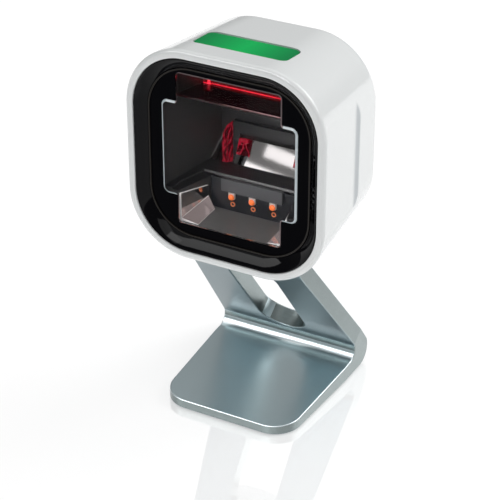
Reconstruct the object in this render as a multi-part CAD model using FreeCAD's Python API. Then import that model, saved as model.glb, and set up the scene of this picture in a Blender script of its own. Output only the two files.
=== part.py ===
import FreeCAD, Part

import math
import os

Vec = FreeCAD.Vector

# ---------------------------------------------------------------- driving sizes, millimetres
# Row frame: +Z up, the face looks along -Y, the origin is under the middle of the whole object.
BASE_FRONT_Y = -36.0        # front edge of the stand's base
BEND_REAR_Y = 36.0          # rearmost line of the stand's bend
FACE_Y = -33.8              # front plane of the head
HEAD_Z = 116.0              # height of the head's centre

HEAD_HALF_X = 43.55
HEAD_HALF_Z = 44.9
HEAD_CORNER = 26.8
HEAD_DEPTH = 55.0
HEAD_TAPER = math.radians(4.2)
WALL_FRONT = 3.5            # the housing's wall at the lip
WALL_REAR = 2.4
BACK_WALL = 2.8
LIP_ROUND = 2.0
REAR_ROUND = 4.0
PANEL_FRONT = 0.8           # the flat panel on each flank, as depths behind the face
PANEL_REAR = 36.6
PANEL_RAMP = 3.0
PANEL_SUNK = 1.1

PLATE = 8.0                 # thickness of the upright
FOOT_GAP = 0.4              # the feet hold the base this far off the counter
BASE_FRONT_TOP = 4.4        # top of the base at its front edge
BEND_Y = 27.4               # inner line of the bend
BEND_Z = 8.0
BEND_ROUND = 4.5            # radius inside the bend
LEAN = math.radians(52.0)   # the upright's angle above the counter
STRAIGHT = 70.0             # straight run of the upright from the bend
NECK_RADIUS = 18.0          # front face of the curve that turns the upright vertical
BASE_HALF = 29.7
BEND_HALF = 32.0
NARROWING_START = 8.0
UPRIGHT_NARROWING = 0.092   # half-width lost per millimetre of the upright from there
BASE_CORNER = 12.0
EDGE_BREAK = 0.5
SLOT_HALF = 10.9
SLOT_START = 8.3
SLOT_END = 70.0

FOOT_RADIUS = 4.5
FOOT_TOP = 1.4

PIVOT_Z = 76.4
PIN_RADIUS = 1.5
RUNNING = 0.05              # radial clearance of the plate on the pin
TONGUE_HALF = 10.5          # half-width of the tongue that enters the head
SHOULDER_Z = 69.8
POCKET_HALF = 13.4          # inside half-width of the head's hinge pocket

TRAVEL = 0.9                # the light bar's press
BUTTON_HALF_X = 20.0
BUTTON_HALF_V = 7.5
BUTTON_DEPTH = 19.0         # centre of the light bar behind the face plane

GAP = 0.1                   # assembly clearance between pieces of one body


# ---------------------------------------------------------------- helpers
def box(x, y, z):
    """A block from three (low, high) pairs."""
    return Part.makeBox(x[1] - x[0], y[1] - y[0], z[1] - z[0], Vec(x[0], y[0], z[0]))


def rod(radius, start, end):
    span = Vec(*end) - Vec(*start)
    return Part.makeCylinder(radius, span.Length, Vec(*start), span)


def ring(half_x, half_z, radius, depth, centre_z=0.0):
    """A rounded rectangle facing the front, at a depth behind the face plane."""
    side, top = half_x - radius, half_z - radius
    mid = radius * math.sqrt(0.5)

    def at(x, z):
        return Vec(x, depth, centre_z + z)

    edges = []
    for turn in range(4):
        sx, sz = ((1, 1), (-1, 1), (-1, -1), (1, -1))[turn]
        on_side, on_top = at(sx * half_x, sz * top), at(sx * side, sz * half_z)
        middle = at(sx * (side + mid), sz * (top + mid))
        first, last = (on_side, on_top) if turn % 2 == 0 else (on_top, on_side)
        if edges:
            edges.append(Part.LineSegment(edges[-1].Vertexes[-1].Point, first).toShape())
        edges.append(Part.Arc(first, middle, last).toShape())
    edges.append(Part.LineSegment(edges[-1].Vertexes[-1].Point, edges[0].Vertexes[0].Point).toShape())
    return Part.Wire(edges)


def tube(front, rear, centre_z=0.0):
    """A solid between two rounded rectangles, each (half x, half z, radius, depth)."""
    return Part.makeLoft([ring(*front, centre_z), ring(*rear, centre_z)], True, True)


def slab(outline, front, rear, centre_z=0.0):
    """A solid of one rounded outline (half x, half z, radius) between two depths."""
    return tube((*outline, front), (*outline, rear), centre_z)


def frustum(front, rear):
    """A solid between two rectangles, each (half x, low z, high z, depth)."""
    wires = []
    for half_x, low, high, depth in (front, rear):
        corners = [(-half_x, low), (half_x, low), (half_x, high), (-half_x, high), (-half_x, low)]
        wires.append(Part.makePolygon([Vec(x, depth, z) for x, z in corners]))
    return Part.makeLoft(wires, True, True)


def side_prism(points, x):
    """A solid with a (depth, z) outline between two x values."""
    corners = [Vec(x[0], d, z) for d, z in points]
    return Part.Face(Part.makePolygon(corners + corners[:1])).extrude(Vec(x[1] - x[0], 0, 0))


def plan_prism(points, z):
    """A solid with an (x, depth) outline between two z values."""
    corners = [Vec(x, d, z[0]) for x, d in points]
    return Part.Face(Part.makePolygon(corners + corners[:1])).extrude(Vec(0, 0, z[1] - z[0]))


def mirrored(shape):
    return shape.mirror(Vec(0, 0, 0), Vec(1, 0, 0))


def edges_at_depth(shape, depth):
    return [e for e in shape.Edges
            if abs(e.BoundBox.YMin - depth) < 1e-4 and abs(e.BoundBox.YMax - depth) < 1e-4]


def outer(depth, inset=0.0):
    """The housing's outside at a depth, moved inwards by inset."""
    shrink = depth * math.tan(HEAD_TAPER) + inset
    return HEAD_HALF_X - shrink, HEAD_HALF_Z - shrink, HEAD_CORNER - inset, depth


def wall(depth):
    return WALL_FRONT + (WALL_REAR - WALL_FRONT) * depth / HEAD_DEPTH


def cavity(depth, clearance=0.0):
    """The housing's inside at a depth, moved inwards by clearance."""
    return outer(depth, wall(depth) + clearance)


# The light bar's own frame: x, v along the sloping top towards the back, n out of the top.
def on_top(shape):
    placed = shape.copy()
    placed.rotate(Vec(0, 0, 0), Vec(1, 0, 0), -math.degrees(HEAD_TAPER))
    placed.translate(Vec(0, BUTTON_DEPTH, HEAD_HALF_Z - BUTTON_DEPTH * math.tan(HEAD_TAPER)))
    return placed


def bar(half_x, half_v, radius, top, bottom):
    """A rounded bar in the light bar's frame, between two depths below the head's top."""
    solid = slab((half_x, half_v, radius), top, bottom)
    solid.rotate(Vec(0, 0, 0), Vec(1, 0, 0), -90)
    return solid


# ---------------------------------------------------------------- stand
ALONG = Vec(0, -math.cos(LEAN), math.sin(LEAN))    # up the upright
OUT = Vec(0, math.sin(LEAN), math.cos(LEAN))       # through the upright, front to rear
BEND = Vec(0, BEND_Y, BEND_Z)
TURN = math.pi / 2 - LEAN
NECK_CENTRE = BEND + ALONG * STRAIGHT + OUT * NECK_RADIUS
PIVOT_Y = NECK_CENTRE.y - NECK_RADIUS + PLATE / 2


def neck_point(radius, angle):
    """A point on the curve, angle back from vertical."""
    return NECK_CENTRE + Vec(0, -radius * math.cos(angle), -radius * math.sin(angle))


def plate_profile():
    """Side outline of the bent plate: wedge base, bend, leaning upright, curved neck, round end."""
    rear_radius = NECK_RADIUS - PLATE
    rear_foot = BEND + OUT * PLATE
    sharp_y = rear_foot.y + (rear_foot.z - FOOT_GAP) / math.tan(LEAN)
    bend_radius = (sharp_y - BEND_REAR_Y) / (1 / math.tan(LEAN / 2) - 1)
    bend_centre = Vec(0, BEND_REAR_Y - bend_radius, FOOT_GAP + bend_radius)
    start = Vec(0, BASE_FRONT_Y, FOOT_GAP)
    on_floor = Vec(0, bend_centre.y, FOOT_GAP)
    on_rear = bend_centre + OUT * bend_radius
    bend_mid = bend_centre + (OUT + Vec(0, 0, -1)).normalize() * bend_radius
    neck_rear = [neck_point(rear_radius, a) for a in (TURN, TURN / 2, 0)]
    neck_front = [neck_point(NECK_RADIUS, a) for a in (0, TURN / 2, TURN)]
    end_rear = Vec(0, PIVOT_Y + PLATE / 2, PIVOT_Z)
    end_top = Vec(0, PIVOT_Y, PIVOT_Z + PLATE / 2)
    end_front = Vec(0, PIVOT_Y - PLATE / 2, PIVOT_Z)
    base_front = Vec(0, BASE_FRONT_Y, BASE_FRONT_TOP)
    edges = [
        Part.LineSegment(start, on_floor),
        Part.Arc(on_floor, bend_mid, on_rear),
        Part.LineSegment(on_rear, neck_rear[0]),
        Part.Arc(*neck_rear),
        Part.LineSegment(neck_rear[2], end_rear),
        Part.Arc(end_rear, end_top, end_front),
        Part.LineSegment(end_front, neck_front[0]),
        Part.Arc(*neck_front),
        Part.LineSegment(neck_front[2], BEND),
        Part.LineSegment(BEND, base_front),
        Part.LineSegment(base_front, start),
    ]
    return Part.Wire([e.toShape() for e in edges])


def base_outline():
    """Plan of the base: rounded front corners, widening to the bend."""
    clip = plan_prism([(-BASE_HALF, BASE_FRONT_Y), (BASE_HALF, BASE_FRONT_Y), (BEND_HALF, 14.0),
                       (BEND_HALF, 40.0), (-BEND_HALF, 40.0), (-BEND_HALF, 14.0)], (-1.0, BEND_Z + 5.0))
    corners = [e for e in clip.Edges
               if e.BoundBox.ZLength > 5 and abs(e.BoundBox.YMin - BASE_FRONT_Y) < 0.01]
    return clip.makeFillet(BASE_CORNER, corners)


def upright_outline():
    """Face of the upright, narrowing from the bend to its top."""
    top = 100.0
    narrow = BEND_HALF - UPRIGHT_NARROWING * (top - NARROWING_START)
    corners = [(-BEND_HALF, -17.0), (BEND_HALF, -17.0), (BEND_HALF, NARROWING_START), (narrow, top),
               (-narrow, top), (-BEND_HALF, NARROWING_START), (-BEND_HALF, -17.0)]
    points = [BEND + ALONG * s + Vec(x, 0, 0) - OUT * 10.0 for x, s in corners]
    return Part.Face(Part.makePolygon(points)).extrude(OUT * 40.0)


def slot_cutter():
    """Long opening through the upright, round at both ends."""
    low = BEND + ALONG * (SLOT_START + SLOT_HALF) - OUT * 10.0
    high = BEND + ALONG * (SLOT_END - SLOT_HALF) - OUT * 10.0
    across = Vec(SLOT_HALF, 0, 0)
    middle = Part.Face(Part.makePolygon([low - across, low + across, high + across, high - across,
                                         low - across])).extrude(OUT * 40.0)
    ends = [Part.makeCylinder(SLOT_HALF, 40.0, p, OUT) for p in (low, high)]
    return middle.fuse(ends).removeSplitter()


def stand_plate():
    solid = Part.Face(plate_profile()).extrude(Vec(80, 0, 0))
    solid.translate(Vec(-40, 0, 0))
    bend_edge = [e for e in solid.Edges if e.BoundBox.XLength > 79
                 and abs(e.BoundBox.YMin - BEND_Y) < 0.01 and abs(e.BoundBox.ZMin - BEND_Z) < 0.01]
    solid = solid.makeFillet(BEND_ROUND, bend_edge)
    solid = solid.common(base_outline().fuse(upright_outline())).removeSplitter()
    solid = solid.cut(slot_cutter())
    for side in ((TONGUE_HALF, 40.0), (-40.0, -TONGUE_HALF)):
        solid = solid.cut(box(side, (-40.0, 10.0), (SHOULDER_Z, 90.0)))
    sharp = [e for e in solid.Edges if is_plate_edge(solid, e)]
    solid = solid.makeFillet(EDGE_BREAK, sharp)
    bore = PIN_RADIUS + RUNNING
    solid = solid.cut(rod(bore, (-40, PIVOT_Y, PIVOT_Z), (40, PIVOT_Y, PIVOT_Z)))
    for x, y in foot_places().values():
        solid = solid.cut(rod(FOOT_RADIUS + GAP, (x, y, -1), (x, y, FOOT_TOP + GAP)))
    return solid


def is_plate_edge(solid, edge):
    """True for the edges between the plate's broad faces and its cut sides."""
    faces = [f for f in solid.Faces if any(e.isSame(edge) for e in f.Edges)]
    if len(faces) != 2 or edge.BoundBox.ZMin > SHOULDER_Z - 6.0:
        return False
    normals = []
    for face in faces:
        u, v = face.Surface.parameter(edge.valueAt(0.5 * (edge.FirstParameter + edge.LastParameter)))
        normals.append(face.normalAt(u, v))
    broad = [abs(n.x) < 0.01 and abs(n.y + 1) > 0.01 for n in normals]
    return normals[0].getAngle(normals[1]) > math.radians(50) and any(broad)


def foot_places():
    places = {}
    for row, y, x in (("front", -25.0, 20.5), ("rear", 19.0, 23.0)):
        places["foot_%s_left" % row] = (-x, y)
        places["foot_%s_right" % row] = (x, y)
    return places


def foot(x, y):
    pad = rod(FOOT_RADIUS, (x, y, 0), (x, y, FOOT_TOP))
    return pad.makeFillet(0.3, [e for e in pad.Edges if e.BoundBox.ZMax < 0.01])


def friction_washer():
    """Washer between the tongue and the flange of the pivot bush."""
    inner, outer_end = TONGUE_HALF + GAP, TONGUE_HALF + GAP + 1.0
    ends = (inner, PIVOT_Y, PIVOT_Z), (outer_end, PIVOT_Y, PIVOT_Z)
    return rod(3.6, *ends).cut(rod(PIN_RADIUS + RUNNING, *ends))


# ---------------------------------------------------------------- head, in its own frame
# x to the right, depth behind the face plane, z above the head's centre.
PIVOT_DEPTH = PIVOT_Y - FACE_Y
PIVOT_H = PIVOT_Z - HEAD_Z
POCKET_FRONT = PIVOT_DEPTH - 7.6
POCKET_REAR = PIVOT_DEPTH + 8.2
POCKET_ROOF = PIVOT_H + PLATE / 2 + 0.4
POCKET_END = POCKET_HALF + 3.0

COVER = (31.5, 26.7, 20.0)
COVER_CENTRE = 6.3
COVER_SCREWS = [(-22.0, 24.0), (22.0, 24.0), (-22.0, -13.0), (22.0, -13.0)]
BOARD_SCREWS = [(-15.5, 20.5), (15.5, 20.5), (-15.5, -20.0), (15.5, -20.0)]

JACK = {"x": 8.0, "low": -36.4, "high": -24.6, "front": 40.0, "rear": 54.4}

BEZEL_FRONT = 0.3
BEZEL_REAR = 8.0
SLOPE_TOP = (39.6, 40.95, 23.2, BEZEL_FRONT)
SLOPE_FOOT = (35.5, 36.35, 19.6, 4.0)
SEAT = (36.8, 37.65, 20.9)
PANE = (36.6, 37.45, 20.7)
MASK_FRONT = 4.3
GLASS_FRONT = 5.6
GLASS_REAR = 7.2

FLANGE_REAR = 8.5
CHAMBER_DEPTH = 45.0
LEDGE = -17.9
BAY_FLOOR = -32.3
LED_FACE = 24.5
LENS_Z = 8.0
SUMP_FLOOR = -22.4
POST = (16.0, 19.0)         # inner and outer x of the mirror frame's posts
MIRROR_BAR = (-6.9, -1.8)
MIRROR_LEAN = 25.0
SHELF_FRONT = (15.5, 18.8)  # depth and height of the red shelf's front and rear edges
SHELF_REAR = (34.0, 17.15)


def chamber_half(depth):
    """Inside half-width of the funnel between the window and its back wall."""
    return 30.6 - (depth - 7.3) * (30.6 - 25.4) / (CHAMBER_DEPTH - 7.3)


def bay_half(depth):
    """Inside half-width of the lamp bay under the ledge."""
    return 24.2 - (depth - 7.3) * 0.28


def hinge_pocket():
    walls = box((-POCKET_END, POCKET_END), (POCKET_FRONT - 1.5, POCKET_REAR + 1.5),
                (-HEAD_HALF_Z + 3.0, POCKET_ROOF + 1.2))
    hollow = box((-POCKET_HALF, POCKET_HALF), (POCKET_FRONT, POCKET_REAR), (-60.0, POCKET_ROOF))
    reach = POCKET_END + 2.4
    bores = rod(2.65, (-reach, PIVOT_DEPTH, PIVOT_H), (reach, PIVOT_DEPTH, PIVOT_H))
    return walls, hollow, bores


def flank_panel():
    """Cutter that leaves a shallow flat panel on the right flank, ramped at both ends."""
    slope = math.tan(HEAD_TAPER)

    def at(depth, sunk):
        return HEAD_HALF_X - depth * slope - sunk, depth

    clear = HEAD_HALF_X + 5.0
    corners = [at(PANEL_FRONT, 0.0), at(PANEL_FRONT + PANEL_RAMP, PANEL_SUNK),
               at(PANEL_REAR - PANEL_RAMP, PANEL_SUNK), at(PANEL_REAR, 0.0), (clear, PANEL_REAR), (clear, PANEL_FRONT)]
    return plan_prism(corners, (-HEAD_HALF_Z, HEAD_HALF_Z))


def housing_shell():
    solid = tube(outer(0.0), outer(HEAD_DEPTH))
    solid = solid.makeFillet(REAR_ROUND, edges_at_depth(solid, HEAD_DEPTH))
    solid = solid.makeFillet(LIP_ROUND, edges_at_depth(solid, 0.0))
    solid = solid.cut(tube(cavity(0.0), cavity(HEAD_DEPTH - BACK_WALL)))
    walls, hollow, bores = hinge_pocket()
    solid = solid.fuse(walls).cut(hollow).cut(bores)
    for panel in (flank_panel(), mirrored(flank_panel())):
        solid = solid.cut(panel)
    solid = solid.cut(on_top(bar(BUTTON_HALF_X + 0.3, BUTTON_HALF_V + 0.3, 3.3, -3.0, 6.0)))
    flange = [c + 0.2 for c in COVER]
    solid = solid.cut(slab(flange, HEAD_DEPTH - 1.6, HEAD_DEPTH + 1, COVER_CENTRE))
    solid = solid.cut(slab([c - 1.8 for c in COVER], HEAD_DEPTH - 4, HEAD_DEPTH, COVER_CENTRE))
    jack = box((-JACK["x"] - 0.2, JACK["x"] + 0.2), (48.0, 60.0), (JACK["low"] - 0.2, JACK["high"] + 0.2))
    return solid.cut(jack)


def pivot_bush():
    """Flanged bush in the pocket's end wall."""
    flange_face = TONGUE_HALF + GAP + 1.0 + GAP
    y, z = PIVOT_DEPTH, PIVOT_H
    bush = rod(3.6, (flange_face, y, z), (POCKET_HALF, y, z)).fuse(rod(2.6, (POCKET_HALF, y, z), (POCKET_END, y, z)))
    return bush.cut(rod(PIN_RADIUS + 0.02, (0, y, z), (40, y, z))).removeSplitter()


def hinge_pin():
    end = POCKET_END + 1.8
    pin = rod(PIN_RADIUS, (-end, PIVOT_DEPTH, PIVOT_H), (end, PIVOT_DEPTH, PIVOT_H))
    for side in (-1, 1):
        groove = sorted((side * (POCKET_END + 0.4), side * (POCKET_END + 1.2)))
        ends = (groove[0], PIVOT_DEPTH, PIVOT_H), (groove[1], PIVOT_DEPTH, PIVOT_H)
        pin = pin.cut(rod(PIN_RADIUS + 1, *ends).cut(rod(PIN_RADIUS - 0.4, *ends)))
    return pin


def pin_clip():
    """E-shaped clip in the groove at the pin's end."""
    ends = (POCKET_END + 0.5, PIVOT_DEPTH, PIVOT_H), (POCKET_END + 1.1, PIVOT_DEPTH, PIVOT_H)
    clip = rod(2.4, *ends).cut(rod(PIN_RADIUS - 0.35, *ends))
    mouth = box((POCKET_END, POCKET_END + 2), (PIVOT_DEPTH - 0.8, PIVOT_DEPTH + 0.8), (PIVOT_H, PIVOT_H + 4))
    return clip.cut(mouth)


def sound_holes():
    """Two columns of small round holes through the bezel's right slope."""
    rise = SLOPE_FOOT[3] - SLOPE_TOP[3]
    run = SLOPE_TOP[0] - SLOPE_FOOT[0]
    into = Vec(rise, run, 0).normalize()
    cutters = []
    for share in (0.30, 0.72):
        x, depth = SLOPE_TOP[0] - run * share, SLOPE_TOP[3] + rise * share
        for row in range(12):
            centre = Vec(x, depth, -14.3 + 2.5 * row)
            cutters.append(Part.makeCylinder(0.75, 2.6, centre - into, into))
    return cutters


def front_bezel():
    solid = tube(cavity(BEZEL_FRONT, GAP), cavity(BEZEL_REAR, GAP))
    solid = solid.cut(tube(SLOPE_TOP, SLOPE_FOOT))
    solid = solid.cut(slab(SLOPE_FOOT[:3], SLOPE_FOOT[3], MASK_FRONT + 0.1))
    solid = solid.cut(slab(SEAT, MASK_FRONT, BEZEL_REAR))
    channel = (38.3, 39.6, 22.4)
    web = tube((*channel, 3.4), (*SEAT, 4.9))
    solid = solid.cut(slab(channel, 3.4, BEZEL_REAR).cut(web))
    return solid.cut(sound_holes())


def window_shape(inset, front, rear):
    """The clear window: an upright rectangle crossed by a wider one."""
    tall = slab((23.0 - inset, 32.7 - inset, 2.0), front, rear, 1.1)
    wide = slab((29.8 - inset, 20.5 - inset, 3.0), front, rear, 0.9)
    return tall.fuse(wide).removeSplitter()


def window_mask():
    return slab(PANE, MASK_FRONT, GLASS_FRONT - GAP).cut(window_shape(0.0, MASK_FRONT - 1, GLASS_FRONT + 1))


def window_glass():
    pane = slab(PANE, GLASS_FRONT, GLASS_REAR)
    return pane.fuse(window_shape(0.15, MASK_FRONT + 0.15, GLASS_FRONT)).removeSplitter()


def window_gasket():
    """Thin bead between the bezel's lip and the mask."""
    bead = slab((35.3, 36.15, 19.4), MASK_FRONT - 0.5, MASK_FRONT)
    return bead.cut(slab((34.7, 35.55, 18.8), 0.0, 9.0))


def optics_chassis():
    """Funnel behind the window, with a ledge, a lamp bay below it and a sump for the mirrors."""
    skin = 1.3
    flange = (36.3, 37.1, 20.4)
    solid = slab(flange, GLASS_REAR + GAP, FLANGE_REAR)
    upper = ((chamber_half(7.3) + skin, LEDGE - skin, 36.0, 7.3),
             (chamber_half(46.2) + skin, LEDGE - skin, 25.2, CHAMBER_DEPTH + 1.2))
    bay = ((bay_half(7.3) + skin, BAY_FLOOR - 1.2, LEDGE, 7.3), (bay_half(28.0) + skin, BAY_FLOOR - 1.2, LEDGE, 28.0))
    solid = solid.fuse([frustum(*upper), frustum(*bay), box((-27.9, 27.9), (28.0, 46.2), (SUMP_FLOOR - 1.2, LEDGE))])
    funnel = frustum((chamber_half(7.0), LEDGE, 34.6, 7.0), (chamber_half(CHAMBER_DEPTH), LEDGE, 24.0, CHAMBER_DEPTH))
    lamp_bay = frustum((bay_half(7.0), BAY_FLOOR, LEDGE + 1, 7.0), (bay_half(26.8), BAY_FLOOR, LEDGE + 1, 26.8))
    sump_half = chamber_half(CHAMBER_DEPTH)
    sump = frustum((chamber_half(36.5), SUMP_FLOOR, LEDGE + 1, 36.5), (sump_half, SUMP_FLOOR, LEDGE + 1, CHAMBER_DEPTH))
    shoulder = side_prism([(7.0, LEDGE + 1), (7.0, LEDGE - 0.8), (26.8, LEDGE - 0.8), (28.0, LEDGE + 1)],
                          (-27.0, 27.0)).common(frustum((29.0, -21.0, -15.0, 7.0), (23.4, -21.0, -15.0, 28.0)))
    lens = rod(5.0, (0, CHAMBER_DEPTH - 1, LENS_Z), (0, CHAMBER_DEPTH + 3, LENS_Z))
    solid = solid.cut([funnel, lamp_bay, sump, shoulder, lens])
    posts = [rod(2.8, (x, 46.0, z), (x, 51.7, z)) for x, z in COVER_SCREWS]
    posts += [rod(2.2, (x, 46.0, z), (x, 47.1, z)) for x, z in BOARD_SCREWS]
    holes = [rod(1.25, (x, 46.3, z), (x, 53.0, z)) for x, z in COVER_SCREWS]
    holes += [rod(1.0, (x, 45.3, z), (x, 48.0, z)) for x, z in BOARD_SCREWS]
    limit = slab(flange, GLASS_REAR, FLANGE_REAR).fuse(tube(cavity(FLANGE_REAR, 0.3), cavity(52.0, 0.3)))
    return solid.fuse(posts).cut(holes).common(limit).removeSplitter()


def light_shield():
    """Grey screen above the lamps."""
    return box((-13.8, 13.8), (LED_FACE - 1.3, LED_FACE - GAP), (-23.4, LEDGE))


def illumination_board():
    half = bay_half(LED_FACE + 1.2) - GAP
    return box((-half, half), (LED_FACE, LED_FACE + 1.2), (BAY_FLOOR + GAP, LEDGE - 0.6))


def illumination_led(x):
    """Lamp package with a domed lens on its face."""
    z = -25.1
    package = box((x - 1.4, x + 1.4), (LED_FACE - 0.9, LED_FACE), (z - 1.4, z + 1.4))
    dome = Part.makeSphere(1.5, Vec(x, LED_FACE - 0.1, z - 0.2)).common(
        box((x - 2, x + 2), (LED_FACE - 2, LED_FACE - 0.9), (z - 2, z + 2)))
    return package.fuse(dome).removeSplitter()


def bay_mirror():
    """Flat mirror on the right wall of the lamp bay."""
    front, rear = 7.6, LED_FACE - 0.3
    plan = plan_prism([(bay_half(front) - GAP, front), (bay_half(rear) - GAP, rear), (bay_half(rear) - 0.9, rear),
                       (bay_half(front) - 0.9, front)], (-40, 0))
    side = side_prism([(front, BAY_FLOOR + GAP), (rear, BAY_FLOOR + GAP), (rear, -22.2), (front, -19.9)], (0, 40))
    return plan.common(side)


def mirror_frame():
    """Two posts and a top bar that hold the mirrors at the back of the funnel."""
    front, rear = CHAMBER_DEPTH - 2.0, CHAMBER_DEPTH - GAP
    inner, wide = POST
    top = box((-wide, wide), (front, rear), MIRROR_BAR)
    posts = [box(sorted((side * inner, side * wide)), (front, rear), (SUMP_FLOOR + GAP, MIRROR_BAR[0]))
             for side in (-1, 1)]
    return top.fuse(posts).removeSplitter()


def rear_mirror():
    """Mirror strip between the posts, leaning back to look out over the ledge."""
    half_x, half_v, thick = POST[0] + 0.2, 7.6, 1.2
    plate = box((-half_x, half_x), (0.0, thick), (-half_v, half_v))
    plate.rotate(Vec(0, 0, 0), Vec(1, 0, 0), -MIRROR_LEAN)
    plate.translate(Vec(0, 40.1, -14.6))
    frame_room = box((-40, 40), (CHAMBER_DEPTH - 2.0 - GAP, 60), (-40, 0))
    return plate.cut(frame_room)


def corner_mirror():
    """Upright mirror across the funnel's rear right corner, its top edge rising to the back."""
    plan = plan_prism([(26.3, 36.8), (20.5, 44.8), (19.7, 44.8), (25.5, 36.8)], (-40, 0))
    side = side_prism([(36.7, SUMP_FLOOR + GAP), (44.9, SUMP_FLOOR + GAP), (44.9, -3.0), (42.8, -4.5), (36.7, -17.0)],
                      (0, 40))
    return plan.common(side)


def upper_baffle():
    """Glossy shelf under the roof of the funnel, turned up into a wall at its rear edge."""
    front, low = SHELF_FRONT[0], SHELF_FRONT[1] - 0.9
    rear, foot = SHELF_REAR[0] + 0.9, SHELF_REAR[1] - 0.9
    profile = [SHELF_FRONT, SHELF_REAR, (SHELF_REAR[0], 26.4), (rear, 26.4), (rear, foot), (front, low)]
    plan = [(-chamber_half(front) + GAP, front), (chamber_half(front) - GAP, front),
            (chamber_half(rear) - GAP, rear), (-chamber_half(rear) + GAP, rear)]
    return side_prism(profile, (-40, 40)).common(plan_prism(plan, (0, 30)))


def aiming_light_guide():
    """Clear bar along the corner between the shelf and its wall."""
    half = chamber_half(34.0) - 1.6
    return box((-half + 2.6, half), (32.8, 33.9), (17.4, 18.4))


def aiming_led():
    half = chamber_half(34.0) - 0.3
    return box((-half, -half + 3.6), (32.2, 33.9), (17.45, 20.2))


def lens_holder():
    """Square foot on the main board and a round barrel through the chassis."""
    foot_block = box((-6.0, 6.0), (46.3, 47.1), (LENS_Z - 6.0, LENS_Z + 6.0))
    barrel = rod(4.6, (0, 40.5, LENS_Z), (0, 46.4, LENS_Z))
    bore = rod(3.2, (0, 39.0, LENS_Z), (0, 47.2, LENS_Z))
    return foot_block.fuse(barrel).cut(bore).removeSplitter()


def lens_glass():
    disc = rod(3.15, (0, 41.2, LENS_Z), (0, 43.4, LENS_Z))
    ball = Part.makeSphere(7.0, Vec(0, 48.0, LENS_Z))
    return disc.common(ball)


def image_sensor():
    return box((-2.6, 2.6), (46.65, 47.1), (LENS_Z - 2.2, LENS_Z + 2.2)).common(
        rod(3.15, (0, 46, LENS_Z), (0, 48, LENS_Z)))


def main_board():
    board = box((-18.4, 18.4), (47.2, 48.4), (-23.4, 24.0))
    return board.cut([rod(1.2, (x, 46, z), (x, 50, z)) for x, z in BOARD_SCREWS])


def screw(x, z, start, seat, radius, head_radius, head_height):
    """Cross-head screw driven from the back, its head resting on a face at depth seat."""
    top = seat + head_height
    shank = rod(radius, (x, start, z), (x, seat, z))
    head = rod(head_radius, (x, seat, z), (x, top, z))
    return shank.fuse(head).cut(cross_recess(x, z, top, 0.6 * head_radius))


def board_screws():
    return Part.makeCompound([screw(x, z, 46.4, 48.4, 0.95, 2.0, 1.2) for x, z in BOARD_SCREWS])


def cross_recess(x, z, depth, reach):
    """Cross-shaped driver recess in a screw head whose top is at depth."""
    bars = [box((x - reach, x + reach), (depth - 0.6, depth + 1), (z - 0.25, z + 0.25)),
            box((x - 0.25, x + 0.25), (depth - 0.6, depth + 1), (z - reach, z + reach))]
    return bars[0].fuse(bars[1])


def processor_shield():
    """Stamped lid over the processor."""
    lid = box((-11.0, 11.0), (48.5, 50.3), (-4.0, 14.0))
    lid = lid.makeFillet(0.6, edges_at_depth(lid, 50.3))
    return lid.cut(box((-10.6, 10.6), (48.4, 49.9), (-3.6, 13.6)))


def board_connector():
    """Header that the socket's lead plugs into."""
    body = box((-7.0, 7.0), (48.4, 50.9), (-22.6, -17.0))
    return body.cut([box((-5.6 + 2.2 * i, -4.4 + 2.2 * i), (49.6, 51.5), (-20.6, -18.4)) for i in range(5)])


def beeper():
    """Round sounder beside the funnel, behind the sound holes."""
    centre = 17.0
    can = rod(6.0, (31.8, centre, 0), (35.8, centre, 0))
    return can.cut(rod(0.9, (34.8, centre, 0), (36.0, centre, 0)))


# ---------------------------------------------------------------- light bar, in the light bar's frame
def button_lens():
    return on_top(bar(BUTTON_HALF_X, BUTTON_HALF_V, 3.0, 0.35, 4.1))


def button_carrier():
    """Frame under the lens with the stem that works the switch."""
    frame = bar(BUTTON_HALF_X + 1.2, BUTTON_HALF_V + 1.2, 4.0, 4.1, 4.9)
    frame = frame.cut(bar(BUTTON_HALF_X - 2.0, BUTTON_HALF_V - 2.0, 1.5, 4.0, 5.0))
    bridge = box((-1.6, 1.6), (-BUTTON_HALF_V, BUTTON_HALF_V), (-4.9, -4.1))
    return on_top(frame.fuse(bridge).removeSplitter())


def button_tray():
    """Fixed tray under the housing that carries the indicator board."""
    tray = bar(22.4, 9.5, 4.6, 4.5, 8.45)
    return on_top(tray.cut(bar(21.6, 8.95, 4.2, 3.0, 7.85)))


def indicator_board():
    return on_top(bar(18.0, 7.0, 1.5, 6.95, 7.85))


def indicator_led(x):
    return on_top(box((x - 0.9, x + 0.9), (-0.6, 0.6), (-6.95, -6.2)))


def button_switch():
    body = box((-2.3, 2.3), (-2.3, 2.3), (-6.95, -6.3))
    plunger = rod(1.0, (0, 0, -6.4), (0, 0, -6.0))
    return on_top(body.fuse(plunger).removeSplitter())


# ---------------------------------------------------------------- back of the head
def interface_socket():
    """Modular jack, open to the back, with contact wires and a latch notch."""
    x, low, high = JACK["x"], JACK["low"], JACK["high"]
    body = box((-x, x), (JACK["front"], JACK["rear"]), (low, high))
    hollow = box((-5.9, 5.9), (JACK["rear"] - 11.5, JACK["rear"] + 1), (low + 2.6, high - 2.2))
    notch = box((-3.2, 3.2), (JACK["rear"] - 9.0, JACK["rear"] + 1), (low + 1.0, low + 3.0))
    body = body.cut(hollow).cut(notch)
    wires = [box((-4.0 + 1.02 * i, -3.6 + 1.02 * i), (JACK["rear"] - 11.5, JACK["rear"] - 5.0),
                 (high - 2.9, high - 2.2)) for i in range(8)]
    return body.fuse(wires).removeSplitter()


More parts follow.
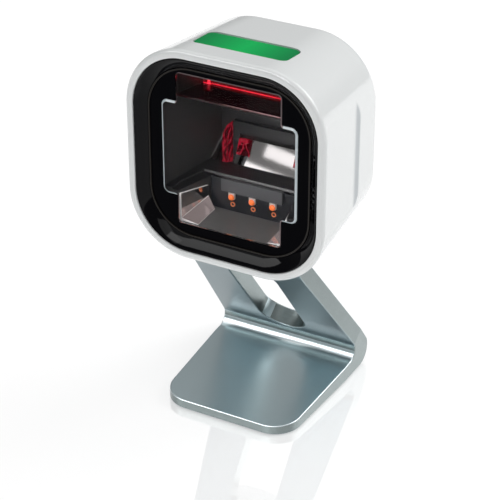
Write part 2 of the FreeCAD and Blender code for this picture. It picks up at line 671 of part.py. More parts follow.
def rear_cover():
    solid = slab(COVER, HEAD_DEPTH - 1.5, HEAD_DEPTH - 0.1, COVER_CENTRE)
    rim = [c - 2.0 for c in COVER]
    rim_inner = [c - 3.4 for c in COVER]
    lip = slab(rim, HEAD_DEPTH - 2.9, HEAD_DEPTH - 1.5, COVER_CENTRE)
    solid = solid.fuse(lip.cut(slab(rim_inner, HEAD_DEPTH - 3.0, HEAD_DEPTH - 1.5, COVER_CENTRE)))
    for x, z in COVER_SCREWS:
        solid = solid.cut(rod(3.0, (x, HEAD_DEPTH - 0.8, z), (x, HEAD_DEPTH + 1, z)))
        solid = solid.cut(rod(1.4, (x, HEAD_DEPTH - 4, z), (x, HEAD_DEPTH + 1, z)))
    return solid.removeSplitter()


def cover_screws():
    seat = HEAD_DEPTH - 0.8
    return Part.makeCompound([screw(x, z, 47.5, seat, 1.2, 2.7, 0.7) for x, z in COVER_SCREWS])


# ---------------------------------------------------------------- assembly
def head_nodes():
    nodes = {
        "housing_shell": housing_shell(),
        "rear_cover": rear_cover(),
        "cover_screws": cover_screws(),
        "interface_socket": interface_socket(),
        "hinge_pin": hinge_pin(),
        "pivot_bush_right": pivot_bush(),
        "pivot_bush_left": mirrored(pivot_bush()),
        "pin_clip_right": pin_clip(),
        "pin_clip_left": mirrored(pin_clip()),
        "front_bezel": front_bezel(),
        "window_mask": window_mask(),
        "window_glass": window_glass(),
        "window_gasket": window_gasket(),
        "optics_chassis": optics_chassis(),
        "light_shield": light_shield(),
        "illumination_board": illumination_board(),
        "bay_mirror_right": bay_mirror(),
        "bay_mirror_left": mirrored(bay_mirror()),
        "side_mirror_right": corner_mirror(),
        "side_mirror_left": mirrored(corner_mirror()),
        "mirror_frame": mirror_frame(),
        "rear_mirror": rear_mirror(),
        "upper_baffle": upper_baffle(),
        "aiming_light_guide": aiming_light_guide(),
        "aiming_led": aiming_led(),
        "lens_holder": lens_holder(),
        "lens_glass": lens_glass(),
        "image_sensor": image_sensor(),
        "main_board": main_board(),
        "board_screws": board_screws(),
        "processor_shield": processor_shield(),
        "board_connector": board_connector(),
        "beeper": beeper(),
        "button_tray": button_tray(),
        "indicator_board": indicator_board(),
        "button_switch": button_switch(),
        "button_lens": button_lens(),
        "button_carrier": button_carrier(),
    }
    for name, x in (("left", -9.3), ("centre", 0.0), ("right", 9.3)):
        nodes["illumination_led_" + name] = illumination_led(x)
    for index, x in enumerate((-14.0, -7.0, 7.0, 14.0)):
        nodes["indicator_led_%d" % (index + 1)] = indicator_led(x)
    return nodes


def stand_nodes():
    nodes = {"stand_plate": stand_plate(), "friction_washer_right": friction_washer(),
             "friction_washer_left": mirrored(friction_washer())}
    for name, (x, y) in foot_places().items():
        nodes[name] = foot(x, y)
    return nodes


def main():
    os.makedirs("parts", exist_ok=True)
    nodes = stand_nodes()
    for name, shape in head_nodes().items():
        shape.translate(Vec(0, FACE_Y, HEAD_Z))
        nodes[name] = shape
    for name, shape in nodes.items():
        shape.exportStep("parts/%s.step" % name)
        print(name, "valid" if shape.isValid() else "INVALID", len(shape.Solids), round(shape.Volume, 1))
    print("pivot", round(PIVOT_Y, 3), PIVOT_Z, "nodes", len(nodes))


main()
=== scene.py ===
import math

import bmesh
import bpy
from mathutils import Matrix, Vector


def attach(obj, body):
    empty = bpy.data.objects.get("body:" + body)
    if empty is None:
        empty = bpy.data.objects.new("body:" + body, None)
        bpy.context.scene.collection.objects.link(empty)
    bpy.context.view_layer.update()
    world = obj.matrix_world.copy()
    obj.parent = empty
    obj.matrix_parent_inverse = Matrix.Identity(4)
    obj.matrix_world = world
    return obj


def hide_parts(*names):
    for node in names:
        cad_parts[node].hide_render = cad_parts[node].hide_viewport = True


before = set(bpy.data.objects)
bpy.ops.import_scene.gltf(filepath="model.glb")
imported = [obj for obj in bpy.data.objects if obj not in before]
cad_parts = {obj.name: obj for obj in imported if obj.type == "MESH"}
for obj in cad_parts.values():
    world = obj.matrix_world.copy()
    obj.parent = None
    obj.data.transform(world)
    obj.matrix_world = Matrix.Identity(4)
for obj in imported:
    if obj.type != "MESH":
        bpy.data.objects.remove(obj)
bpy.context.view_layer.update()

# ------------------------------------------------------------ counter, camera and light
# A mirror-smooth white counter in a tent that is brightest overhead, and plain white where it
# is seen straight on or in a sharp mirror. A long lens looks down on the face from its right.
# Soft lamps stand in front and on the right, and two slits shine on the mirrors in the head.
MM = 0.001
CAMERA_TURN = math.radians(28.52)
CAMERA_RISE = math.radians(29.43)
CAMERA_REACH = 0.6912
AIM = Vector((0.0118, -0.0338, 0.0833))


def outward(turn, rise):
    """Direction from the scanner towards a place at an azimuth and a height angle."""
    return Vector((math.sin(turn) * math.cos(rise), -math.cos(turn) * math.cos(rise), math.sin(rise)))


camera_data = bpy.data.cameras.new("camera")
camera_data.sensor_width = 36.0
camera_data.lens = 128.2
camera = bpy.data.objects.new("camera", camera_data)
bpy.context.scene.collection.objects.link(camera)
camera.location = AIM + outward(CAMERA_TURN, CAMERA_RISE) * CAMERA_REACH
camera.rotation_euler = outward(CAMERA_TURN, CAMERA_RISE).to_track_quat("Z", "Y").to_euler()
bpy.context.scene.camera = camera
bpy.context.scene.view_settings.view_transform = "Standard"
bpy.context.scene.cycles.transparent_max_bounces = 16
bpy.context.scene.cycles.max_bounces = 16
bpy.context.scene.cycles.transmission_bounces = 16
bpy.context.scene.cycles.glossy_bounces = 8

world = bpy.data.worlds.new("tent")
bpy.context.scene.world = world
world.use_nodes = True
sky = world.node_tree
place = sky.nodes.new("ShaderNodeTexCoord")
split = sky.nodes.new("ShaderNodeSeparateXYZ")
sky.links.new(place.outputs["Generated"], split.inputs["Vector"])
fade = sky.nodes.new("ShaderNodeMapRange")
fade.inputs["From Min"].default_value = 0.56
fade.inputs["From Max"].default_value = 0.9
fade.inputs["To Min"].default_value = 0.14
fade.inputs["To Max"].default_value = 1.15
sky.links.new(split.outputs["Z"], fade.inputs["Value"])
rays = sky.nodes.new("ShaderNodeLightPath")
strength = fade.outputs["Result"]
for ray in ("Is Singular Ray", "Is Camera Ray"):
    brighter = sky.nodes.new("ShaderNodeMath")
    brighter.operation = "MAXIMUM"
    sky.links.new(strength, brighter.inputs[0])
    sky.links.new(rays.outputs[ray], brighter.inputs[1])
    strength = brighter.outputs["Value"]
sky.links.new(strength, sky.nodes["Background"].inputs["Strength"])
sky.nodes["Background"].inputs["Color"].default_value = (1.0, 1.0, 1.0, 1.0)


def soft_lamp(name, turn, rise, reach, width, height, radiance, sheen_only=False):
    """Rectangular soft lamp that faces the head. A sheen_only one shows only in gloss."""
    data = bpy.data.lights.new(name, "AREA")
    data.shape = "RECTANGLE"
    data.size, data.size_y = width, height
    data.energy = radiance * math.pi * width * height
    lamp = bpy.data.objects.new(name, data)
    bpy.context.scene.collection.objects.link(lamp)
    way = outward(math.radians(turn), math.radians(rise))
    lamp.location = Vector((0.0, 0.0, 0.1)) + way * reach
    lamp.rotation_euler = way.to_track_quat("Z", "Y").to_euler()
    lamp.visible_diffuse = not sheen_only


soft_lamp("lamp_right", 132.0, 36.0, 0.9, 0.8, 0.5, 3.2)
soft_lamp("lamp_front", 10.0, 36.0, 1.4, 1.1, 0.5, 1.8)
soft_lamp("lamp_front_left", -30.0, 40.0, 1.2, 1.3, 0.42, 5.0, sheen_only=True)
soft_lamp("lamp_slit_low", -25.5, 17.3, 1.2, 0.24, 0.040, 1.2, sheen_only=True)
soft_lamp("lamp_slit_high", -24.7, 19.15, 1.2, 0.08, 0.014, 1.1, sheen_only=True)

bpy.ops.mesh.primitive_plane_add(size=6.0)
floor = bpy.context.object
floor.name = "counter"
counter_white = bpy.data.materials.new("counter_white")
counter_white.use_nodes = True
counter_shader = counter_white.node_tree.nodes["Principled BSDF"]
counter_shader.inputs["Base Color"].default_value = (0.6, 0.6, 0.6, 1.0)
counter_shader.inputs["Roughness"].default_value = 0.0
counter_shader.inputs["IOR"].default_value = 2.6
counter_shader.inputs["Emission Color"].default_value = (1.0, 1.0, 1.0, 1.0)
counter_shader.inputs["Emission Strength"].default_value = 0.42
floor.data.materials.append(counter_white)

# ------------------------------------------------------------ stand plate
# One thick plate of aluminium: bent, slotted, bead-blasted and anodised a cool grey. Its cut
# sides are darker and carry the cutter's lines. The base's rounded front edges have a painted
# highlight, and faces turned downwards a painted shade.
BASE_EDGE_TOP = 13.5


def node_group(name, tree_type, inputs, outputs):
    """An empty tree with named sockets, and its two end nodes."""
    group = bpy.data.node_groups.new(name, tree_type)
    for title, kind, value in inputs:
        socket = group.interface.new_socket(title, in_out="INPUT", socket_type=kind)
        if value is not None:
            socket.default_value = value
    for title, kind in outputs:
        group.interface.new_socket(title, in_out="OUTPUT", socket_type=kind)
    return group, group.nodes.new("NodeGroupInput"), group.nodes.new("NodeGroupOutput")


def noise(tree, scale, detail=2.0, stretch=None):
    """Noise on Object coordinates. The scale is a number or an output socket."""
    place = tree.nodes.new("ShaderNodeTexCoord")
    vector = place.outputs["Object"]
    if stretch:
        mapping = tree.nodes.new("ShaderNodeMapping")
        mapping.inputs["Scale"].default_value = stretch
        tree.links.new(vector, mapping.inputs["Vector"])
        vector = mapping.outputs["Vector"]
    texture = tree.nodes.new("ShaderNodeTexNoise")
    texture.inputs["Detail"].default_value = detail
    tree.links.new(vector, texture.inputs["Vector"])
    if isinstance(scale, (int, float)):
        texture.inputs["Scale"].default_value = scale
    else:
        tree.links.new(scale, texture.inputs["Scale"])
    return texture.outputs["Fac"]


def coordinates(tree, kind="Object"):
    """X, Y and Z of a point in the object's own coordinates, or of its normal."""
    place = tree.nodes.new("ShaderNodeTexCoord")
    split = tree.nodes.new("ShaderNodeSeparateXYZ")
    tree.links.new(place.outputs[kind], split.inputs["Vector"])
    return split.outputs


def maths(tree, operation, *values):
    """The result of a sum on numbers and output sockets."""
    node = tree.nodes.new("ShaderNodeMath")
    node.operation = operation
    for socket, value in zip(node.inputs, values):
        if isinstance(value, (int, float)):
            socket.default_value = value
        else:
            tree.links.new(value, socket)
    return node.outputs["Value"]


def product(tree, first, *others):
    """Several masks or numbers multiplied together."""
    for other in others:
        first = maths(tree, "MULTIPLY", first, other)
    return first


def blended(tree, share, first, second):
    """A colour between two, by a share from 0 to 1."""
    node = tree.nodes.new("ShaderNodeMix")
    node.data_type = "RGBA"
    for title, value in (("A", first), ("B", second)):
        socket = [s for s in node.inputs if s.name == title and s.type == "RGBA"][0]
        if isinstance(value, tuple):
            socket.default_value = value
        else:
            tree.links.new(value, socket)
    tree.links.new(share, node.inputs["Factor"])
    return [s for s in node.outputs if s.type == "RGBA"][0]


def overlay(material, share, colour):
    """Lays a colour over a material's own one, by a share that varies over the surface."""
    tree = material.node_tree
    base = tree.nodes["Principled BSDF"].inputs["Base Color"]
    tree.links.new(blended(tree, share, base.links[0].from_socket, colour), base)


def fine_surface_group():
    """Slight unevenness of a made surface: colour, roughness and height from one grain."""
    group, start, end = node_group(
        "fine_surface", "ShaderNodeTree",
        [("Colour", "NodeSocketColor", (0.5, 0.5, 0.5, 1.0)), ("Tint", "NodeSocketFloat", 0.06),
         ("Roughness", "NodeSocketFloat", 0.3), ("Swing", "NodeSocketFloat", 0.08),
         ("Grain", "NodeSocketFloat", 1500.0), ("Cloud", "NodeSocketFloat", 45.0)],
        [("Colour", "NodeSocketColor"), ("Roughness", "NodeSocketFloat"), ("Height", "NodeSocketFloat")])
    grain = noise(group, start.outputs["Grain"], 2.0)
    cloud = noise(group, start.outputs["Cloud"], 3.0)
    darker = group.nodes.new("ShaderNodeHueSaturation")
    darker.inputs["Value"].default_value = 0.55
    group.links.new(start.outputs["Colour"], darker.inputs["Color"])
    share = maths(group, "MULTIPLY", cloud, start.outputs["Tint"])
    clouded = blended(group, share, start.outputs["Colour"], darker.outputs["Color"])
    group.links.new(clouded, end.inputs["Colour"])
    offset = maths(group, "SUBTRACT", cloud, 0.5)
    swing = maths(group, "MULTIPLY", offset, start.outputs["Swing"])
    group.links.new(maths(group, "ADD", swing, start.outputs["Roughness"]), end.inputs["Roughness"])
    group.links.new(grain, end.inputs["Height"])
    return group


fine_surface = fine_surface_group()


def finish(name, colour, roughness, tint=0.06, swing=0.08, grain=1500.0, cloud=45.0, bump=0.05,
           metallic=0.0, coat=0.0, coat_roughness=0.03, specular=0.5, glow=0.0):
    """A material for one finish: the shared grain feeds its colour, roughness and bump."""
    material = bpy.data.materials.new(name)
    material.use_nodes = True
    tree = material.node_tree
    shader = tree.nodes["Principled BSDF"]
    shader.inputs["Metallic"].default_value = metallic
    shader.inputs["Coat Weight"].default_value = coat
    shader.inputs["Coat Roughness"].default_value = coat_roughness
    shader.inputs["Specular IOR Level"].default_value = specular
    shader.inputs["Emission Color"].default_value = (*colour, 1.0)
    shader.inputs["Emission Strength"].default_value = glow
    grouped = tree.nodes.new("ShaderNodeGroup")
    grouped.node_tree = fine_surface
    grouped.inputs["Colour"].default_value = (*colour, 1.0)
    for title, value in (("Tint", tint), ("Roughness", roughness), ("Swing", swing), ("Grain", grain),
                         ("Cloud", cloud)):
        grouped.inputs[title].default_value = value
    tree.links.new(grouped.outputs["Colour"], shader.inputs["Base Color"])
    tree.links.new(grouped.outputs["Roughness"], shader.inputs["Roughness"])
    if bump:
        relief = tree.nodes.new("ShaderNodeBump")
        relief.inputs["Strength"].default_value = bump
        relief.inputs["Distance"].default_value = 0.02 * MM
        tree.links.new(grouped.outputs["Height"], relief.inputs["Height"])
        tree.links.new(relief.outputs["Normal"], shader.inputs["Normal"])
    return material


def wear(node, material):
    """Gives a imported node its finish."""
    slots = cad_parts[node].data.materials
    slots.clear()
    slots.append(material)


def anodised():
    """Cool grey metal: a painted highlight on the base's rounded edges, a painted shade on faces turned down,
    brushed and darker on its cut sides.
    """
    material = finish("anodised_aluminium", (0.57, 0.68, 0.71), 0.3, tint=0.12, grain=2600.0, cloud=30.0,
                      bump=0.3, metallic=1.0)
    tree = material.node_tree
    facing = coordinates(tree, "Normal")
    low = maths(tree, "LESS_THAN", coordinates(tree)["Z"], BASE_EDGE_TOP * MM)
    front = product(tree, maths(tree, "GREATER_THAN", facing["Z"], 0.55),
                    maths(tree, "LESS_THAN", facing["Z"], 0.90), maths(tree, "LESS_THAN", facing["Y"], 0.5))
    level = maths(tree, "LESS_THAN", maths(tree, "ABSOLUTE", facing["Z"]), 0.25)
    cut_side = maths(tree, "MAXIMUM", level, maths(tree, "SUBTRACT", front, low))
    lines = noise(tree, 1600.0, 2.0, (0.03, 1.0, 1.0))
    brushed = blended(tree, lines, (0.185, 0.215, 0.215, 1.0), (0.235, 0.275, 0.275, 1.0))
    # Painted shade: faces turned downwards are darker.
    overlay(material, maths(tree, "LESS_THAN", facing["Z"], -0.3), (0.22, 0.27, 0.29, 1.0))
    overlay(material, cut_side, brushed)
    # Painted highlight: the base's rounded front edges are near white.
    overlay(material, product(tree, front, low), (0.80, 0.86, 0.88, 1.0))
    return material


wear("stand_plate", anodised())

# ------------------------------------------------------------ rubber feet
# Four moulded rubber pads, stuck into shallow round pockets under the base. They keep the
# stand from sliding when an item knocks against the head.
foot_rubber = finish("foot_rubber", (0.025, 0.025, 0.026), 0.7, tint=0.3, grain=900.0, bump=0.5)
for name in ("foot_front_left", "foot_front_right", "foot_rear_left", "foot_rear_right"):
    wear(name, foot_rubber)

# ------------------------------------------------------------ hinge
# A plated steel pin through the plate's tongue, with polymer washers beside the tongue,
# flanged bronze bushes in the head's pocket and a clip in a groove at each end.
plated_steel = finish("plated_steel", (0.60, 0.60, 0.58), 0.25, tint=0.15, grain=1800.0, bump=0.1,
                      metallic=1.0)
sintered_bronze = finish("sintered_bronze", (0.42, 0.28, 0.13), 0.42, tint=0.5, swing=0.2, grain=2200.0,
                         cloud=400.0, bump=0.4, metallic=1.0)
washer_polymer = finish("washer_polymer", (0.62, 0.60, 0.52), 0.5, tint=0.2, grain=1200.0, bump=0.2)
wear("hinge_pin", plated_steel)
for side in ("left", "right"):
    wear("pin_clip_" + side, plated_steel)
    wear("pivot_bush_" + side, sintered_bronze)
    wear("friction_washer_" + side, washer_polymer)

# ------------------------------------------------------------ optics chassis
# A dark grey moulded funnel behind the window. A ledge crosses it: the mirrors sit above
# and behind the ledge, and the lamps are in a bay below it.
BAY_TOP = 85.0
CHASSIS_GRAIN = {"tint": 0.4, "swing": 0.15, "grain": 900.0, "cloud": 60.0, "bump": 0.12}
chassis_plastic = finish("chassis_plastic", (0.045, 0.045, 0.046), 0.34, **CHASSIS_GRAIN)


def chassis_finish():
    """The same plastic with upward faces near black above the lamp bay, and lighter grey in it as painted
    light.
    """
    material = finish("chassis_painted", (0.05, 0.05, 0.051), 0.34, **CHASSIS_GRAIN)
    tree = material.node_tree
    upward = maths(tree, "GREATER_THAN", coordinates(tree, "Normal")["Z"], 0.8)
    in_bay = maths(tree, "LESS_THAN", coordinates(tree)["Z"], BAY_TOP * MM)
    # Painted light: upward faces in the lamp bay are lighter grey.
    overlay(material, product(tree, upward, in_bay), (0.10, 0.10, 0.097, 1.0))
    # Upward faces above the bay, the top of the ledge among them, are near black.
    overlay(material, product(tree, upward, maths(tree, "SUBTRACT", 1.0, in_bay)), (0.010, 0.010, 0.012, 1.0))
    return material


wear("optics_chassis", chassis_finish())
wear("mirror_frame", chassis_plastic)
wear("lens_holder", chassis_plastic)

# ------------------------------------------------------------ lamps
# Three amber lamps on a black board at the back of the bay, under a plain grey screen. Each
# is a square pale package with a dome on its lower half, and has an eyelet below it that
# carries a painted orange reflection of the lamp.
FACE_Y = -33.8
HEAD_Z = 116.0
LAMP_PITCH = 9.3
PACKAGE_HALF, PACKAGE_Z = 1.4, -25.1
PACKAGE_BACK, PACKAGE_FRONT = 24.48, 23.55
DOME_RADIUS, DOME_RISE, DOME_Z = 1.3, 1.0, -25.6
EYELET_RADIUS, EYELET_WIRE, EYELET_Z = 0.85, 0.26, -29.0


def in_head(x, depth, z):
    """A point in metres from x, depth behind the face and height above the head's centre."""
    return Vector((x, FACE_Y + depth, HEAD_Z + z)) * MM


def rounded_ring(half_x, half_z, radius, depth, centre_z=0.0, arc=14, side=4):
    """Points round a rounded rectangle that faces the front, at a depth behind the face."""
    points = []
    for sx, sz, start in ((1, 1, 0.0), (-1, 1, 0.5), (-1, -1, 1.0), (1, -1, 1.5)):
        cx, cz = sx * (half_x - radius), sz * (half_z - radius)
        for step in range(arc + 1):
            angle = (start + 0.5 * step / arc) * math.pi
            points.append((cx + radius * math.cos(angle), cz + radius * math.sin(angle)))
        upright = start in (0.5, 1.5)
        length = 2 * (half_z - radius) if upright else 2 * (half_x - radius)
        way = ((-1, 0), (0, -1), (1, 0), (0, 1))[int(start * 2)]
        last = points[-1]
        points += [(last[0] + way[0] * length * step / side, last[1] + way[1] * length * step / side)
                   for step in range(1, side)]
    return [in_head(x, depth, centre_z + z) for x, z in points]


def ringed(name, rings, ends="caps"):
    """A closed mesh through rings of equal length. Its ends are capped, or joined in a loop."""
    mesh = bmesh.new()
    rows = [[mesh.verts.new(p) for p in ring] for ring in rings]
    pairs = list(zip(rows, rows[1:]))
    if ends == "loop":
        pairs.append((rows[-1], rows[0]))
    for low, high in pairs:
        for index in range(len(low)):
            after = (index + 1) % len(low)
            mesh.faces.new((low[index], low[after], high[after], high[index]))
    if ends == "caps":
        mesh.faces.new(list(reversed(rows[0])))
        mesh.faces.new(rows[-1])
    bmesh.ops.recalc_face_normals(mesh, faces=mesh.faces)
    data = bpy.data.meshes.new(name)
    mesh.to_mesh(data)
    mesh.free()
    made = bpy.data.objects.new(name, data)
    bpy.context.scene.collection.objects.link(made)
    return made


def settle(made, sharp_angle=32.0):
    """Replaces an object's mesh by what its modifiers make of it, smooth apart from its edges."""
    bpy.context.view_layer.update()
    final = bpy.data.meshes.new_from_object(made.evaluated_get(bpy.context.evaluated_depsgraph_get()))
    made.modifiers.clear()
    made.data = final
    final.shade_smooth()
    final.set_sharp_from_angle(angle=math.radians(sharp_angle))
    return made


def combine(made, tool, operation):
    """Adds a tool's shape to an object, or cuts it away, and removes the tool."""
    change = made.modifiers.new(operation, "BOOLEAN")
    change.operation = operation
    change.solver = "EXACT"
    change.object = tool
    settle(made)
    bpy.data.objects.remove(tool)
    return made


def fit(made, body, nodes=(), materials=()):
    """Puts a finished piece on its body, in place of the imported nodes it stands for."""
    for material in materials:
        made.data.materials.append(material)
    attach(made, body)
    if nodes:
        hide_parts(*nodes)
    return made


board_black = finish("board_black", (0.010, 0.012, 0.016), 0.3, tint=0.3, grain=2500.0, cloud=300.0,
                     bump=0.15)
screen_grey = finish("screen_grey", (0.085, 0.088, 0.092), 0.42, tint=0.15, grain=1500.0, bump=0.1)
lamp_amber = finish("lamp_amber", (1.0, 0.20, 0.035), 0.3, tint=0.5, grain=900.0, cloud=1500.0, glow=0.35)
lamp_pale = finish("lamp_pale", (0.85, 0.76, 0.72), 0.4, tint=1.0, grain=900.0, cloud=1900.0)
# Painted reflection: the eyelets glow a faint orange, as the lamps' light reflected below them.
eyelet_clear = finish("eyelet_clear", (0.85, 0.26, 0.12), 0.2, tint=0.4, grain=900.0, glow=0.12)
wear("illumination_board", board_black)
wear("light_shield", screen_grey)


def lamp(name, x):
    """Square package with a dome, and a ring under it with a painted reflection of the lamp's light."""
    rings = [(PACKAGE_HALF, PACKAGE_HALF, 0.2, PACKAGE_BACK, PACKAGE_Z),
             (PACKAGE_HALF, PACKAGE_HALF, 0.2, PACKAGE_FRONT + 0.1, PACKAGE_Z),
             (PACKAGE_HALF - 0.05, PACKAGE_HALF - 0.05, 0.15, PACKAGE_FRONT, PACKAGE_Z)]
    for share in (0.0, 0.2, 0.4, 0.6, 0.8, 0.95):
        turn = 0.5 * math.pi * share
        radius = DOME_RADIUS * math.cos(turn)
        depth = PACKAGE_FRONT - 0.05 - DOME_RISE * math.sin(turn)
        rings.append((radius, radius, 0.98 * radius, depth, DOME_Z))
    made = ringed("lamp_" + name, [rounded_ring(*ring, arc=6, side=3) for ring in rings])
    circles = []
    for around in range(24):
        angle = 2 * math.pi * around / 24
        circle = []
        for step in range(8):
            turn = 2 * math.pi * step / 8
            radius = EYELET_RADIUS + EYELET_WIRE * math.cos(turn)
            circle.append(in_head(0.3 + radius * math.cos(angle), 24.2 + EYELET_WIRE * math.sin(turn),
                                  EYELET_Z + radius * math.sin(angle)))
        circles.append(circle)
    combine(made, ringed("eyelet", circles, "loop"), "UNION")
    for vertex in made.data.vertices:
        vertex.co.x += x * MM
    fit(made, "head", ("illumination_led_" + name,), (lamp_pale, lamp_amber, eyelet_clear))
    for face in made.data.polygons:
        in_eyelet = face.center.z / MM < HEAD_Z - 27.5
        in_dome = face.center.y / MM < FACE_Y + PACKAGE_FRONT - 0.03
        face.material_index = 2 if in_eyelet else int(in_dome)


for step, name in enumerate(("left", "centre", "right")):
    lamp(name, (step - 1) * LAMP_PITCH)

# ------------------------------------------------------------ mirrors
# Front-silvered plastic: a strip across the back behind the ledge and one across each rear
# corner, which carry a painted red reflection, and a folded one on each side of the lamp bay,
# with painted highlights on its cut edges and a painted reflection on its lower facet.
SILVER = {"tint": 0.04, "swing": 0.02, "grain": 400.0, "bump": 0.02, "metallic": 1.0}
silvered = finish("silvered", (0.86, 0.84, 0.82), 0.03, **SILVER)
# Painted highlight: the folded mirrors' cut edges glow pale.
cut_clear = finish("cut_clear", (0.80, 0.78, 0.76), 0.25, tint=0.1, grain=500.0, glow=0.12)
# Painted reflection: the folded mirrors' lower facets glow pinkish white.
folded_silver = finish("folded_silver", (0.90, 0.74, 0.72), 0.12, tint=1.0, swing=0.1, grain=500.0,
                       cloud=230.0, metallic=1.0, glow=0.22)


def red_glints(name, low, high, floor, stretch):
    """Silvering with a painted red reflection, between two distances from the middle: glowing red streaks on
    darker red.
    """
    material = finish(name, (0.86, 0.84, 0.82), 0.03, **SILVER)
    tree = material.node_tree
    shader = tree.nodes["Principled BSDF"]
    spot = coordinates(tree)
    away = maths(tree, "ABSOLUTE", spot["X"])
    zone = product(tree, maths(tree, "GREATER_THAN", away, low * MM),
                   maths(tree, "LESS_THAN", away, high * MM),
                   maths(tree, "GREATER_THAN", spot["Z"], floor * MM))
    streaks = maths(tree, "SUBTRACT", noise(tree, 420.0, 3.0, stretch), 0.5)
    ridge = maths(tree, "SUBTRACT", 1.0, product(tree, maths(tree, "ABSOLUTE", streaks), 14.0))
    # Painted reflection of the red aiming light: glowing streaks over a darker red ground.
    shader.inputs["Emission Color"].default_value = (0.85, 0.03, 0.07, 1.0)
    glint = product(tree, maths(tree, "MAXIMUM", ridge, 0.08), zone, 0.45)
    tree.links.new(glint, shader.inputs["Emission Strength"])
    overlay(material, zone, (0.10, 0.02, 0.03, 1.0))
    return material


def folded_mirror(side):
    """Upright facet on the bay's wall and a lower one that folds in over its floor."""
    rings = []
    for depth, top, fold, toe in ((7.6, -19.9, -30.9, 15.5), (22.4, -21.9, -26.6, 16.2)):
        out = 24.2 - (depth - 7.3) * 0.28 - 0.1
        profile = [(out, -32.2), (toe, -32.2), (toe, -32.0), (out - 0.8, fold), (out - 0.8, top), (out, top)]
        rings.append([in_head(side * x, depth, z) for x, z in profile])
    made = ringed("folded_mirror_" + ("right" if side > 0 else "left"), rings)
    edges = made.modifiers.new("edges", "BEVEL")
    edges.width = 0.3 * MM
    edges.limit_method = "ANGLE"
    edges.angle_limit = math.radians(20.0)
    settle(made, 20.0)
    node = "bay_mirror_right" if side > 0 else "bay_mirror_left"
    fit(made, "head", (node,), (silvered, cut_clear, folded_silver))
    for face in made.data.polygons:
        # Cut edges take the painted highlight, the lower facet the painted reflection.
        face.material_index = 1 if face.area < 12.0 * MM * MM else 2 * int(face.normal.z > 0.2)


folded_mirror(-1)
folded_mirror(1)
for side in ("left", "right"):
    wear("side_mirror_" + side, red_glints("silvered_corner", 20.0, 22.9, 95.0, (2.2, 2.2, 0.5)))
wear("rear_mirror", red_glints("silvered_strip", 9.8, 16.5, 101.0, (0.6, 0.6, 0.6)))

# ------------------------------------------------------------ aiming light
# A dark red glossy shelf under the roof of the funnel, turned up at the back. A red light
# guide lies along its corner, fed by a small lamp at its left end.
SHELF_EDGE = 15.7
LIT_END = (-24.6, -23.4)


def red_shelf():
    """Dark red clear plastic with a painted highlight along the top of its front edge, fading to the left."""
    material = finish("red_clear", (0.022, 0.0008, 0.002), 0.07, tint=0.4, grain=600.0, bump=0.05,
                      specular=0.3)
    tree = material.node_tree
    spot = coordinates(tree)
    fading = tree.nodes.new("ShaderNodeMapRange")
    fading.inputs["From Min"].default_value = -12.0 * MM
    fading.inputs["From Max"].default_value = 14.0 * MM
    tree.links.new(spot["X"], fading.inputs["Value"])
    # Painted highlight: pinkish colour on the front edge's top, fading to the left.
    edge = product(tree, maths(tree, "LESS_THAN", spot["Y"], (FACE_Y + SHELF_EDGE) * MM),
                   maths(tree, "GREATER_THAN", spot["Z"], (HEAD_Z + 18.5) * MM), fading.outputs["Result"])
    overlay(material, edge, (0.62, 0.36, 0.37, 1.0))
    return material


def guide_red():
    """Red plastic, lit in dashes along its foot and most at the left end."""
    material = finish("aimer_red", (0.35, 0.008, 0.015), 0.25, tint=0.3, grain=600.0, cloud=900.0)
    tree = material.node_tree
    shader = tree.nodes["Principled BSDF"]
    spot = coordinates(tree)
    foot = maths(tree, "LESS_THAN", spot["Z"], (HEAD_Z + 17.9) * MM)
    dashes = product(tree, foot, noise(tree, 260.0, 3.0, (1.0, 0.1, 0.1)), 1.7)
    end = product(tree, maths(tree, "LESS_THAN", spot["X"], LIT_END[1] * MM),
                  maths(tree, "GREATER_THAN", spot["X"], LIT_END[0] * MM),
                  maths(tree, "LESS_THAN", spot["Z"], (HEAD_Z + 19.6) * MM), 1.6)
    shader.inputs["Emission Color"].default_value = (1.0, 0.025, 0.05, 1.0)
    total = maths(tree, "ADD", maths(tree, "ADD", dashes, end), 0.08)
    tree.links.new(total, shader.inputs["Emission Strength"])
    return material


aimer_red = guide_red()
wear("upper_baffle", red_shelf())
wear("aiming_light_guide", aimer_red)
wear("aiming_led", aimer_red)

# ------------------------------------------------------------ camera and main board
# A small camera looks forward through the chassis from a green board across the back. The
# board also carries a shielded processor and the header for the lead's socket.
board_green = finish("board_green", (0.012, 0.085, 0.035), 0.3, tint=0.4, grain=2500.0, cloud=500.0, bump=0.2)
carrier_white = finish("carrier_white", (0.74, 0.74, 0.71), 0.5, tint=0.1, bump=0.1)
lens_coated = finish("lens_coated", (0.02, 0.03, 0.06), 0.04, tint=0.2, coat=1.0)
wear("lens_glass", lens_coated)
wear("image_sensor", board_black)
wear("main_board", board_green)
wear("processor_shield", plated_steel)
wear("board_connector", carrier_white)


GEOMETRY_OUT = [("Geometry", "NodeSocketGeometry")]


def made_real(tree, geometry, start, end):
    """Ends a geometry tree: real meshes instead of instances, in the finish that it is given."""
    real = tree.nodes.new("GeometryNodeRealizeInstances")
    tree.links.new(geometry, real.inputs["Geometry"])
    painted = tree.nodes.new("GeometryNodeSetMaterial")
    tree.links.new(real.outputs["Geometry"], painted.inputs["Geometry"])
    tree.links.new(start.outputs["Finish"], painted.inputs["Material"])
    tree.links.new(painted.outputs["Geometry"], end.inputs["Geometry"])
    return tree


